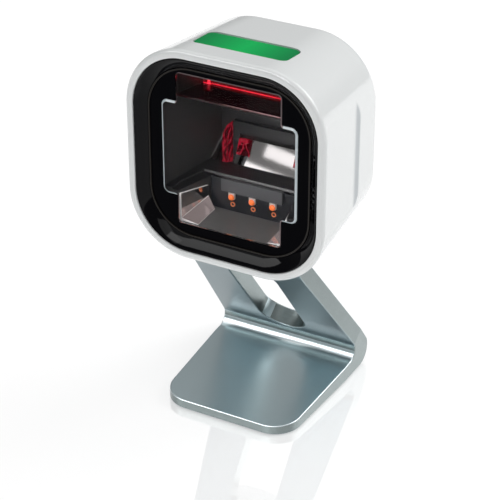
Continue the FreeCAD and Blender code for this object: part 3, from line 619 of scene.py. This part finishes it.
def screw_tree():
    """Cross-head screws at the corners of a rectangle, driven in from the back."""
    wanted = [("Across", "NodeSocketFloat", 31.0 * MM), ("Up", "NodeSocketFloat", 40.5 * MM),
              ("Middle", "NodeSocketVector", (0.0, 0.0, 0.0)), ("Shank", "NodeSocketFloat", 0.95 * MM),
              ("Length", "NodeSocketFloat", 2.0 * MM), ("Head", "NodeSocketFloat", 2.0 * MM),
              ("Rise", "NodeSocketFloat", 1.2 * MM), ("Finish", "NodeSocketMaterial", None)]
    tree, start, end = node_group("screws", "GeometryNodeTree", wanted, GEOMETRY_OUT)

    def offset(z, turn=0.0):
        """Moves geometry by a height along the screw, given as an output socket."""
        move = tree.nodes.new("GeometryNodeTransform")
        place = tree.nodes.new("ShaderNodeCombineXYZ")
        tree.links.new(z, place.inputs["Z"])
        tree.links.new(place.outputs["Vector"], move.inputs["Translation"])
        move.inputs["Rotation"].default_value = (0.0, 0.0, turn)
        return move

    head = tree.nodes.new("GeometryNodeMeshCone")
    head.inputs["Vertices"].default_value = 40
    tree.links.new(maths(tree, "MULTIPLY", start.outputs["Head"], 0.88), head.inputs["Radius Top"])
    tree.links.new(start.outputs["Head"], head.inputs["Radius Bottom"])
    tree.links.new(start.outputs["Rise"], head.inputs["Depth"])
    shank = tree.nodes.new("GeometryNodeMeshCylinder")
    shank.inputs["Vertices"].default_value = 24
    tree.links.new(start.outputs["Shank"], shank.inputs["Radius"])
    tree.links.new(start.outputs["Length"], shank.inputs["Depth"])
    below = offset(maths(tree, "MULTIPLY", start.outputs["Length"], -0.48))
    tree.links.new(shank.outputs["Mesh"], below.inputs["Geometry"])
    joined = tree.nodes.new("GeometryNodeMeshBoolean")
    joined.operation = "UNION"
    tree.links.new(head.outputs["Mesh"], joined.inputs["Mesh 2"])
    tree.links.new(below.outputs["Geometry"], joined.inputs["Mesh 2"])
    driven = tree.nodes.new("GeometryNodeMeshBoolean")
    driven.operation = "DIFFERENCE"
    tree.links.new(joined.outputs["Mesh"], driven.inputs["Mesh 1"])
    for turn in (0.0, 0.5 * math.pi):
        bar = tree.nodes.new("GeometryNodeMeshCube")
        size = tree.nodes.new("ShaderNodeCombineXYZ")
        tree.links.new(maths(tree, "MULTIPLY", start.outputs["Head"], 1.2), size.inputs["X"])
        size.inputs["Y"].default_value = 0.5 * MM
        size.inputs["Z"].default_value = 1.0 * MM
        tree.links.new(size.outputs["Vector"], bar.inputs["Size"])
        raised = offset(start.outputs["Rise"], turn)
        tree.links.new(bar.outputs["Mesh"], raised.inputs["Geometry"])
        tree.links.new(raised.outputs["Geometry"], driven.inputs["Mesh 2"])
    corners = tree.nodes.new("GeometryNodeMeshGrid")
    corners.inputs["Vertices X"].default_value = 2
    corners.inputs["Vertices Y"].default_value = 2
    tree.links.new(start.outputs["Across"], corners.inputs["Size X"])
    tree.links.new(start.outputs["Up"], corners.inputs["Size Y"])
    upright = tree.nodes.new("GeometryNodeTransform")
    upright.inputs["Rotation"].default_value = (0.5 * math.pi, 0.0, 0.0)
    tree.links.new(corners.outputs["Mesh"], upright.inputs["Geometry"])
    tree.links.new(start.outputs["Middle"], upright.inputs["Translation"])
    placed = tree.nodes.new("GeometryNodeInstanceOnPoints")
    placed.inputs["Rotation"].default_value = (-0.5 * math.pi, 0.0, 0.0)
    tree.links.new(upright.outputs["Geometry"], placed.inputs["Points"])
    tree.links.new(driven.outputs["Mesh"], placed.inputs["Instance"])
    return made_real(tree, placed.outputs["Instances"], start, end)


def set_inputs(modifier, **values):
    """Sets a tree's named inputs, given with underscores for spaces, by their identifiers."""
    for item in modifier.node_group.interface.items_tree:
        key = item.name.replace(" ", "_")
        if item.item_type == "SOCKET" and item.in_out == "INPUT" and key in values:
            modifier[item.identifier] = values[key]


def screws(node, **sizes):
    """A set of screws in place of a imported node."""
    made = bpy.data.objects.new(node + "_driven", bpy.data.meshes.new(node))
    bpy.context.scene.collection.objects.link(made)
    maker = made.modifiers.new("screws", "NODES")
    maker.node_group = all_screws
    set_inputs(maker, Finish=plated_steel, **sizes)
    settle(made)
    fit(made, "head", (node,))


all_screws = screw_tree()
screws("board_screws", Middle=tuple(in_head(0.0, 48.4, 0.25)))

# ------------------------------------------------------------ beeper
# A round black sounder with one small port, made of moulded plastic. It stands on edge beside
# the funnel, behind the holes in the bezel's right slope.
wear("beeper", chassis_plastic)

# ------------------------------------------------------------ window
# A clear moulded pane with a raised cross that fills the opening of the black mask. The
# cross has a polished bevel all round, wider on its side lobes, coloured as a painted
# highlight, and a bead seals the mask.
CROSS_CORNERS = [(29.8, -19.6), (29.8, 21.4), (23.0, 21.4), (23.0, 33.8), (-23.0, 33.8), (-23.0, 21.4),
                 (-29.8, 21.4), (-29.8, -19.6), (-23.0, -19.6), (-23.0, -31.6), (23.0, -31.6), (23.0, -19.6)]
CROSS_RADII = [3.0, 3.0, 0.5, 2.0, 2.0, 0.5] * 2
LOBE_START = 26.0
PANE = (36.6, 37.45, 20.7)


def cross_outline(depth, tall_inset, lobe_inset, steps=6):
    """The window's cross at a depth, with the edges of its two bars moved inwards."""
    count = len(CROSS_CORNERS)
    points = []
    for index, (x, z) in enumerate(CROSS_CORNERS):
        before = Vector(CROSS_CORNERS[index - 1])
        after = Vector(CROSS_CORNERS[(index + 1) % count])
        corner = Vector((x, z))
        arrive, leave = (corner - before).normalized(), (after - corner).normalized()
        centre, insets = corner, 0.0
        for way in (arrive, leave):
            upright = abs(way.y) > 0.5
            on_lobe = abs(x) > LOBE_START if upright else abs(z) < LOBE_START
            inset = lobe_inset if on_lobe else tall_inset
            centre = centre - Vector((way.y, -way.x)) * inset
            insets += inset
        outer = 1 if arrive.cross(leave) > 0 else -1
        radius = max(CROSS_RADII[index] - 0.5 * insets * outer, 0.15)
        centre = centre - arrive * radius + leave * radius
        for step in range(steps + 1):
            angle = 0.5 * math.pi * step / steps
            point = centre - leave * radius * math.cos(angle) + arrive * radius * math.sin(angle)
            points.append(in_head(point.x, depth, point.y))
    return points


gloss_black = finish("gloss_black", (0.003, 0.003, 0.004), 0.05, tint=0.3, swing=0.02, grain=300.0, bump=0.0,
                     specular=0.11)
mask_black = finish("mask_black", (0.001, 0.001, 0.002), 0.08, tint=0.3, swing=0.02, grain=300.0, bump=0.0,
                    specular=0.02)
bead_brown = finish("bead_brown", (0.016, 0.013, 0.010), 0.4, tint=0.3, grain=900.0, specular=0.2)
wear("window_mask", mask_black)
wear("window_gasket", bead_brown)


def clear_plastic(name, colour, shadow_colour, index, roughness=0.0):
    """Clear plastic that lets light through to what is behind it."""
    material = bpy.data.materials.new(name)
    material.use_nodes = True
    tree = material.node_tree
    shader = tree.nodes["Principled BSDF"]
    shader.inputs["Transmission Weight"].default_value = 1.0
    shader.inputs["IOR"].default_value = index
    smear = maths(tree, "MULTIPLY", noise(tree, 120.0, 3.0), roughness)
    tree.links.new(smear, shader.inputs["Roughness"])
    tinted = blended(tree, noise(tree, 60.0, 2.0), (*colour, 1.0), tuple(0.97 * c for c in colour) + (1.0,))
    tree.links.new(tinted, shader.inputs["Base Color"])
    rays = tree.nodes.new("ShaderNodeLightPath")
    clear = tree.nodes.new("ShaderNodeBsdfTransparent")
    clear.inputs["Color"].default_value = (*shadow_colour, 1.0)
    both = tree.nodes.new("ShaderNodeMixShader")
    tree.links.new(rays.outputs["Is Shadow Ray"], both.inputs["Fac"])
    tree.links.new(shader.outputs["BSDF"], both.inputs[1])
    tree.links.new(clear.outputs["BSDF"], both.inputs[2])
    tree.links.new(both.outputs["Shader"], tree.nodes["Material Output"].inputs["Surface"])
    return material


window_clear = clear_plastic("window_clear", (0.97, 0.96, 0.97), (0.94, 0.94, 0.94), 1.09, 0.02)


def bevel_material():
    """Polished edge coloured as a painted highlight: pale blue on the lobes, pinkish on the tall part, with
    orange patches low down.
    """
    material = finish("window_bevel", (0.8, 0.8, 0.8), 0.2, tint=0.1, grain=500.0)
    tree = material.node_tree
    spot = coordinates(tree)
    on_lobe = maths(tree, "GREATER_THAN", maths(tree, "ABSOLUTE", spot["X"]), 23.4 * MM)
    low = maths(tree, "LESS_THAN", spot["Z"], (HEAD_Z - 31.0) * MM)
    patches = noise(tree, 70.0, 1.0, (1.0, 0.2, 0.2))
    warm = product(tree, low, maths(tree, "GREATER_THAN", patches, 0.5))
    pale = blended(tree, on_lobe, (0.42, 0.34, 0.35, 1.0), (0.72, 0.80, 0.84, 1.0))
    colour = blended(tree, warm, pale, (0.8, 0.14, 0.07, 1.0))
    tree.links.new(colour, tree.nodes["Principled BSDF"].inputs["Base Color"])
    return material


window = ringed("window", [cross_outline(6.4, 0.15, 0.15), cross_outline(4.8, 0.15, 0.15),
                           cross_outline(4.15, 0.45, 1.05)])
back_pane = ringed("back_pane", [rounded_ring(*PANE, 5.6), rounded_ring(*PANE, 7.2)])
combine(window, back_pane, "UNION")
fit(window, "head", ("window_glass",), (window_clear, bevel_material()))
# The bevel's slanted faces take its painted highlight.
for face in window.data.polygons:
    depth = face.center.y / MM - FACE_Y
    face.material_index = 1 if depth < 4.9 and 0.3 < abs(face.normal.y) < 0.98 else 0

# ------------------------------------------------------------ bezel
# A gloss black moulding inside the housing's lip. Its face slopes in to the window like a
# shallow tray, and two columns of small sound holes are pierced through its right slope.
HALF_WIDTH, HALF_HEIGHT, CORNER_RADIUS = 43.55, 44.9, 26.8
WALL_FRONT, WALL_REAR, HEAD_DEPTH = 3.5, 2.4, 55.0
DRAFT = math.radians(4.2)
TAPER = math.tan(DRAFT)
SLOPE_TOP = (39.6, 40.95, 23.2, 0.3)
SLOPE_FOOT = (35.5, 36.35, 19.6, 4.0)
HOLE_ROWS, HOLE_PITCH, HOLE_RADIUS = 12, 2.5, 0.75
HOLES_BOTTOM = -14.3


def outside(depth, inset=0.0):
    """The housing's rounded outline at a depth, moved inwards."""
    shrink = depth * TAPER + inset
    return HALF_WIDTH - shrink, HALF_HEIGHT - shrink, CORNER_RADIUS - inset, depth


def inside(depth, clearance=0.0):
    """The inner outline of the housing's wall at a depth, less a clearance."""
    return outside(depth, WALL_FRONT + (WALL_REAR - WALL_FRONT) * depth / HEAD_DEPTH + clearance)


def between(first, last, share):
    """Values part of the way from one set to another."""
    return tuple(a + (b - a) * share for a, b in zip(first, last))


def bezel_rings():
    """Outlines round the bezel: up its rim, down its hollow slope and back under its foot."""
    rings = [inside(8.0, 0.1), inside(4.0, 0.1), inside(0.8, 0.1)]
    for share in (0.35, 0.7, 1.0):
        turn = 0.5 * math.pi * share
        inset = 0.1 + 0.4 * (1 - math.cos(turn))
        rings.append((*inside(0.3, inset)[:3], 0.3 + 0.5 * (1 - math.sin(turn))))
    rings.append((SLOPE_TOP[0] + 0.1, SLOPE_TOP[1] + 0.1, SLOPE_TOP[2] + 0.1, 0.3))
    for step in range(1, 20):
        share = step / 20
        curved = 0.62 * share + 0.38 * share * share
        rings.append((*between(SLOPE_TOP, SLOPE_FOOT, share)[:3], between(SLOPE_TOP, SLOPE_FOOT, curved)[3]))
    rings.append((35.42, 36.27, 19.52, 4.12))
    rings.append((35.4, 36.25, 19.5, 4.38))
    rings += [(36.8, 37.65, 20.9, 4.38), (36.8, 37.65, 20.9, 4.95)]
    rings += [(38.3, 39.6, 22.4, 3.5), (38.3, 39.6, 22.4, 8.0)]
    return [rounded_ring(*ring, arc=40, side=12) for ring in rings]


bezel = ringed("bezel", bezel_rings(), "loop")


def sound_hole_tree():
    """Two columns of round cutters along a slope, taken out of the bezel."""
    wanted = [("Bezel", "NodeSocketGeometry", None), ("Rows", "NodeSocketInt", HOLE_ROWS),
              ("Pitch", "NodeSocketFloat", HOLE_PITCH * MM), ("Radius", "NodeSocketFloat", HOLE_RADIUS * MM),
              ("Reach", "NodeSocketFloat", 4.0 * MM), ("Outer Start", "NodeSocketVector", (0.0, 0.0, 0.0)),
              ("Inner Start", "NodeSocketVector", (0.0, 0.0, 0.0)), ("Slope", "NodeSocketFloat", 0.8),
              ("Finish", "NodeSocketMaterial", None)]
    tree, start, end = node_group("sound_holes", "GeometryNodeTree", wanted, GEOMETRY_OUT)
    cutter = tree.nodes.new("GeometryNodeMeshCylinder")
    cutter.inputs["Vertices"].default_value = 20
    tree.links.new(start.outputs["Radius"], cutter.inputs["Radius"])
    tree.links.new(start.outputs["Reach"], cutter.inputs["Depth"])
    step = tree.nodes.new("ShaderNodeCombineXYZ")
    tree.links.new(start.outputs["Pitch"], step.inputs["Z"])
    tilt = tree.nodes.new("ShaderNodeCombineXYZ")
    tilt.inputs["X"].default_value = 0.5 * math.pi
    tree.links.new(start.outputs["Slope"], tilt.inputs["Z"])
    columns = tree.nodes.new("GeometryNodeJoinGeometry")
    for title in ("Outer Start", "Inner Start"):
        column = tree.nodes.new("GeometryNodeMeshLine")
        tree.links.new(start.outputs["Rows"], column.inputs["Count"])
        tree.links.new(start.outputs[title], column.inputs["Start Location"])
        tree.links.new(step.outputs["Vector"], column.inputs["Offset"])
        tree.links.new(column.outputs["Mesh"], columns.inputs["Geometry"])
    placed = tree.nodes.new("GeometryNodeInstanceOnPoints")
    tree.links.new(columns.outputs["Geometry"], placed.inputs["Points"])
    tree.links.new(cutter.outputs["Mesh"], placed.inputs["Instance"])
    tree.links.new(tilt.outputs["Vector"], placed.inputs["Rotation"])
    solid = tree.nodes.new("GeometryNodeRealizeInstances")
    tree.links.new(placed.outputs["Instances"], solid.inputs["Geometry"])
    pierce = tree.nodes.new("GeometryNodeMeshBoolean")
    pierce.operation = "DIFFERENCE"
    tree.links.new(start.outputs["Bezel"], pierce.inputs["Mesh 1"])
    tree.links.new(solid.outputs["Geometry"], pierce.inputs["Mesh 2"])
    return made_real(tree, pierce.outputs["Mesh"], start, end)


holes = bezel.modifiers.new("sound_holes", "NODES")
holes.node_group = sound_hole_tree()
hole_starts = [between(SLOPE_TOP, SLOPE_FOOT, share) for share in (0.30, 0.72)]
starts = [tuple(in_head(spot[0], spot[3], HOLES_BOTTOM)) for spot in hole_starts]
set_inputs(holes, Outer_Start=starts[0], Inner_Start=starts[1], Finish=gloss_black,
           Slope=-math.atan2(SLOPE_FOOT[3] - SLOPE_TOP[3], SLOPE_TOP[0] - SLOPE_FOOT[0]))
settle(bezel)
# Painted shade: the walls of the sound holes are near black.
hole_black = finish("hole_black", (0.001, 0.001, 0.001), 0.9, tint=0.2, grain=900.0, bump=0.0, specular=0.0)
bezel.data.materials.clear()
fit(bezel, "head", ("front_bezel",), (gloss_black, hole_black))
slope_out = Vector((SLOPE_TOP[3] - SLOPE_FOOT[3], SLOPE_FOOT[0] - SLOPE_TOP[0], 0.0)).normalized()


def off_axis(point):
    """Distance of a point from the nearest sound hole's axis."""
    distances = []
    for start in starts:
        row = min(max(round((point.z - start[2]) / (HOLE_PITCH * MM)), 0), HOLE_ROWS - 1)
        away = point - Vector((start[0], start[1], start[2] + row * HOLE_PITCH * MM))
        distances.append((away - slope_out * away.dot(slope_out)).length)
    return min(distances)


# Faces inside the holes take the painted shade.
for face in bezel.data.polygons:
    corners = [bezel.data.vertices[index].co for index in face.vertices]
    in_hole = all(off_axis(corner) < (HOLE_RADIUS + 0.05) * MM for corner in corners)
    face.material_index = int(face.center.x > 33.0 * MM and in_hole)

# ------------------------------------------------------------ light bar
# A satin green lens that is also the push button. It stands in a slot in the roof on a
# white frame, over a board with four lamps and a push switch.
BAR = (20.0, 7.5, 3.0)
BAR_DEPTH = 19.0
BAR_EDGE = 0.5
BAR_SHOULDER = -0.85


def bar_ring(height, grow=0.0):
    """The bar's rounded outline in the roof's own plane, at a height above it, made larger."""
    points = []
    for point in rounded_ring(*(size + grow for size in BAR), 0.0, arc=10, side=4):
        along, back = point.x / MM, point.z / MM - HEAD_Z
        depth = BAR_DEPTH + back * math.cos(DRAFT) + height * math.sin(DRAFT)
        roof = HALF_HEIGHT - BAR_DEPTH * TAPER
        points.append(in_head(along, depth, roof - back * math.sin(DRAFT) + height * math.cos(DRAFT)))
    return points


def glowing_bar():
    """Saturated green that is a little darker towards the bar's ends."""
    material = finish("bar_green", (0.003, 0.42, 0.095), 0.34, grain=1200.0, cloud=60.0, bump=0.1,
                      specular=0.1)
    tree = material.node_tree
    share = product(tree, maths(tree, "ABSOLUTE", coordinates(tree)["X"]), 45.0)
    colour = blended(tree, share, (0.006, 0.47, 0.105, 1.0), (0.005, 0.20, 0.060, 1.0))
    tree.links.new(colour, tree.nodes["Principled BSDF"].inputs["Base Color"])
    return material


lens_rings = [bar_ring(-4.1), bar_ring(BAR_SHOULDER)]
for share in (0.25, 0.5, 0.75, 1.0):
    turn = 0.5 * math.pi * share
    lens_rings.append(bar_ring(BAR_SHOULDER + BAR_EDGE * math.sin(turn), -BAR_EDGE * (1 - math.cos(turn))))
fit(ringed("light_bar", lens_rings), "button", ("button_lens",), (glowing_bar(),))
lamp_green = finish("lamp_green", (0.72, 0.86, 0.72), 0.4)
wear("button_carrier", carrier_white)
wear("button_tray", chassis_plastic)
wear("indicator_board", board_green)
wear("button_switch", chassis_plastic)
for index in range(1, 5):
    wear("indicator_led_%d" % index, lamp_green)

# ------------------------------------------------------------ housing
# One deep gloss white moulding, open at the face, with a soft round lip and the light bar's
# slot in its roof. Each flank has a shallow flat panel with a soft step at its rear. A flat
# cover, held by four screws, closes the back above the socket for the lead.
COVER = (31.5, 26.7, 20.0)
COVER_CENTRE = 6.3
LIP_ROUND = 2.0
REAR_ROUND = 4.0
PANEL_DEPTH = 1.1
PANEL_FRONT = (0.6, 3.6)
PANEL_REAR = (32.0, 37.5)
COVER_LEDGE, COVER_SUNK, COVER_FLANGE = 1.8, 1.6, 2.8
PIVOT = (18.288, -39.6)


def panel_cut(depth):
    """How far a flank's flat panel lies under the flank, at a depth behind the face."""
    def ramp(start, stop):
        share = min(max((depth - start) / (stop - start), 0.0), 1.0)
        return share * share * (3 - 2 * share)

    return PANEL_DEPTH * (1.6 * ramp(*PANEL_FRONT) * (1 - ramp(*PANEL_REAR)) - 0.6)


def flattened(ring, depth):
    """An outer ring of the housing with both flanks cut back softly to their panels."""
    limit = (HALF_WIDTH - depth * TAPER - panel_cut(depth)) * MM
    soft = 0.10 * MM
    points = []
    for point in ring:
        side = abs(point.x)
        if side > limit - 1.0 * MM:
            gap = (side - limit) / soft
            side = limit if gap > 30 else side - soft * math.log(1 + math.exp(gap))
        points.append(Vector((math.copysign(side, point.x), point.y, point.z)))
    return points


def housing_rings():
    """Outlines round the shell: forward inside, over the lip, back outside, in to the cover."""
    def ring(spec, centre_z=0.0):
        return rounded_ring(*spec, centre_z, arc=56, side=30)

    rings = []
    for depth in (52.2, 40.0, 25.0, 10.0, 1.0, 0.4):
        rings.append(ring(inside(depth)))
    for share in (0.5, 1.0):
        turn = 0.5 * math.pi * share
        inset, depth = WALL_FRONT - 0.35 * (1 - math.cos(turn)), 0.35 * (1 - math.sin(turn))
        rings.append(ring((*outside(0.0, inset)[:3], depth)))
    rings.append(ring(outside(0.0, 2.5)))
    for share in range(0, 9):
        turn = 0.5 * math.pi * share / 8
        inset, depth = LIP_ROUND * (1 - math.sin(turn)), LIP_ROUND * (1 - math.cos(turn))
        rings.append(flattened(ring((*outside(depth, inset)[:3], depth)), depth))
    depth = LIP_ROUND
    stop = HEAD_DEPTH - REAR_ROUND
    while depth < stop - 0.4:
        depth += 0.35 if 32.5 < depth < 38.0 or depth < 5.0 else 0.9
        rings.append(flattened(ring(outside(min(depth, stop))), min(depth, stop)))
    for share in range(1, 9):
        turn = 0.5 * math.pi * share / 8
        inset, behind = REAR_ROUND * (1 - math.cos(turn)), stop + REAR_ROUND * math.sin(turn)
        rings.append(ring((*outside(behind, inset)[:3], behind)))
    edge = outside(HEAD_DEPTH, REAR_ROUND)
    flange = tuple(c + 0.2 for c in COVER)
    for share in (0.2, 0.4, 0.6, 0.8, 0.95, 1.0):
        rings.append(ring((*between(edge[:3], flange, share), HEAD_DEPTH), COVER_CENTRE * share))
    rings.append(ring((*flange, HEAD_DEPTH - COVER_SUNK), COVER_CENTRE))
    for sunk in (COVER_SUNK, COVER_FLANGE):
        rings.append(ring((*(c - COVER_LEDGE for c in COVER), HEAD_DEPTH - sunk), COVER_CENTRE))
    return rings


def block(name, x, depth, z):
    """A block in the head from three (low, high) pairs, as a tool for cutting and joining."""
    rings = []
    for d in depth:
        rings.append([in_head(a, d, b) for a, b in ((x[1], z[0]), (x[1], z[1]), (x[0], z[1]), (x[0], z[0]))])
    return ringed(name, rings)


def rod_tool(name, radius, centre, reach, sides=48):
    """A cylinder across the head, as a cutting tool."""
    ends = []
    for x in (-reach, reach):
        ends.append([in_head(x, centre[0] + radius * math.cos(2 * math.pi * i / sides),
                             centre[1] + radius * math.sin(2 * math.pi * i / sides)) for i in range(sides)])
    return ringed(name, ends)


def gloss_white():
    """White plastic with a painted shade on the slope of each panel's rear step."""
    material = finish("housing_white", (0.80, 0.82, 0.82), 0.16, tint=0.02, swing=0.03, grain=600.0,
                      cloud=25.0, bump=0.02, coat=0.3)
    tree = material.node_tree
    # Painted shade: forward-facing slopes behind the front are darker.
    slope = product(tree, maths(tree, "SUBTRACT", -0.02, coordinates(tree, "Normal")["Y"]), 4.0)
    share = maths(tree, "MINIMUM", maths(tree, "MAXIMUM", slope, 0.0), 1.0)
    behind = maths(tree, "GREATER_THAN", coordinates(tree)["Y"], (FACE_Y + 24.0) * MM)
    overlay(material, product(tree, share, behind), (0.58, 0.61, 0.63, 1.0))
    return material


housing = ringed("housing", housing_rings(), "loop")
across, back, up = (-16.4, 16.4), (PIVOT[0] - 9.1, PIVOT[0] + 9.7), (-41.9, PIVOT[1] + 5.6)
combine(housing, block("pocket_walls", across, back, up), "UNION")
for tool in (block("pocket", (-13.4, 13.4), (PIVOT[0] - 7.6, PIVOT[0] + 8.2), (-60.0, PIVOT[1] + 4.4)),
             rod_tool("bores", 2.65, PIVOT, 18.8),
             ringed("bar_slot", [bar_ring(-6.0, 0.3), bar_ring(3.0, 0.3)]),
             block("jack_mouth", (-8.2, 8.2), (48.0, 60.0), (-36.6, -24.4))):
    combine(housing, tool, "DIFFERENCE")
housing_white = gloss_white()
fit(housing, "head", ("housing_shell",), (housing_white,))
wear("rear_cover", housing_white)
screws("cover_screws", Across=44.0 * MM, Up=37.0 * MM, Middle=tuple(in_head(0.0, 54.2, 5.5)), Shank=1.2 * MM,
       Length=6.7 * MM, Head=2.7 * MM, Rise=0.7 * MM)
wear("interface_socket", board_black)
